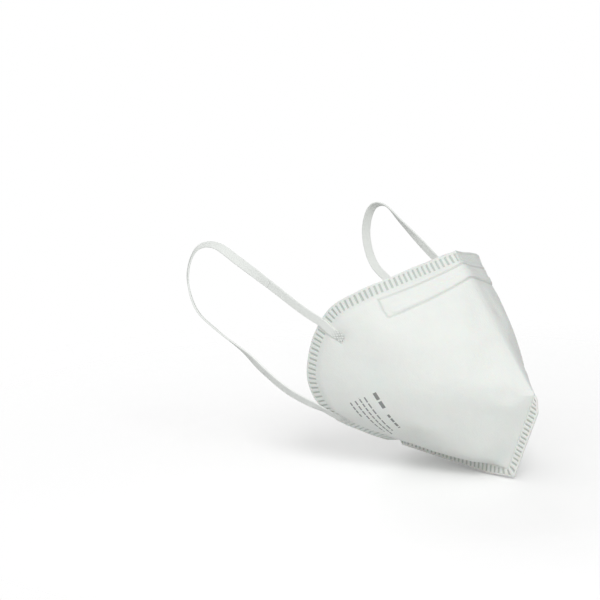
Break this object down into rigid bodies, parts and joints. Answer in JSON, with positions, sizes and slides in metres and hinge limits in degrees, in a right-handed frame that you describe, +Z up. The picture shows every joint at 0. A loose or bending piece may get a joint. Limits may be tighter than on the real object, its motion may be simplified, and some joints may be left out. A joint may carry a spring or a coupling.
{
  "type": "disposable dust mask",
  "caption": "Fold-flat disposable dust mask: layered fabric cup with welded rim and seams, bendable nose wire and elastic ear loops.",
  "frame": {"origin": "centre of the face opening, midway between the nose bridge and the chin", "axes": "+X to the wearer's left, +Y back through the face opening, +Z up"},
  "size_m": [0.164, 0.1862, 0.1249],
  "materials": {
    "cover": "matt white spunbond nonwoven",
    "filter": "soft melt-blown fibre web",
    "support": "stiff needled fibre web",
    "lining": "smooth matt white nonwoven",
    "weld": "nonwoven pressed and fused by welding",
    "wire": "plastic-coated flat wire",
    "elastic": "flat knitted elastic, finely ribbed"
  },
  "bodies": {
    "centre": {"outer_cover_chin": "cover", "filter_one_chin": "filter", "filter_two_chin": "filter", "support_layer_chin": "support", "inner_lining_chin": "lining", "rim_weld_chin": "weld", "front_seam_weld": "weld", "chin_seam_weld": "weld"},
    "left_panel": {"outer_cover_left": "cover", "filter_one_left": "filter", "filter_two_left": "filter", "support_layer_left": "support", "inner_lining_left": "lining", "rim_weld_left": "weld", "nose_wire_left": "wire", "loop_top_end_left": "elastic", "loop_low_end_left": "elastic"},
    "left_loop": {"loop_top_strand_left": "elastic", "loop_low_strand_left": "elastic"},
    "left_loop_bight": {"loop_bight_left": "elastic"},
    "right_panel": {"outer_cover_right": "cover", "filter_one_right": "filter", "filter_two_right": "filter", "support_layer_right": "support", "inner_lining_right": "lining", "rim_weld_right": "weld", "nose_wire_right": "wire", "loop_top_end_right": "elastic", "loop_low_end_right": "elastic"},
    "right_loop": {"loop_top_strand_right": "elastic", "loop_low_strand_right": "elastic"},
    "right_loop_bight": {"loop_bight_right": "elastic"}
  },
  "joints": [
    {"name": "left_fold", "type": "hinge", "parent": "centre", "child": "left_panel", "pos_m": [0, -0.019, 0.0565], "axis": [0, 0.5982, 0.8013], "range_deg": [-6, 24], "stiffness_Nm_per_rad": 0.05},
    {"name": "right_fold", "type": "hinge", "parent": "centre", "child": "right_panel", "pos_m": [0, -0.019, 0.0565], "axis": [0, -0.5982, -0.8013], "range_deg": [-6, 24], "stiffness_Nm_per_rad": 0.05},
    {"name": "left_loop_swing", "type": "hinge", "parent": "left_panel", "child": "left_loop", "pos_m": [0.05985, 0.02975, -0.0052], "axis": [-0.1449, 0.0973, -0.9847], "range_deg": [-15, 100], "stiffness_Nm_per_rad": 0.01},
    {"name": "left_loop_stretch", "type": "slide", "parent": "left_loop", "child": "left_loop_bight", "axis": [0.227, 0.8801, 0.4169], "range_m": [0, 0.03], "stiffness_N_per_m": 30},
    {"name": "right_loop_swing", "type": "hinge", "parent": "right_panel", "child": "right_loop", "pos_m": [-0.05985, 0.02975, -0.0052], "axis": [-0.1449, -0.0973, 0.9847], "range_deg": [-15, 100], "stiffness_Nm_per_rad": 0.01},
    {"name": "right_loop_stretch", "type": "slide", "parent": "right_loop", "child": "right_loop_bight", "axis": [-0.227, 0.8801, 0.4169], "range_m": [0, 0.03], "stiffness_N_per_m": 30}
  ],
  "couplings": [
    {"joint": "right_fold", "follows": "left_fold", "ratio": 1}
  ]
}
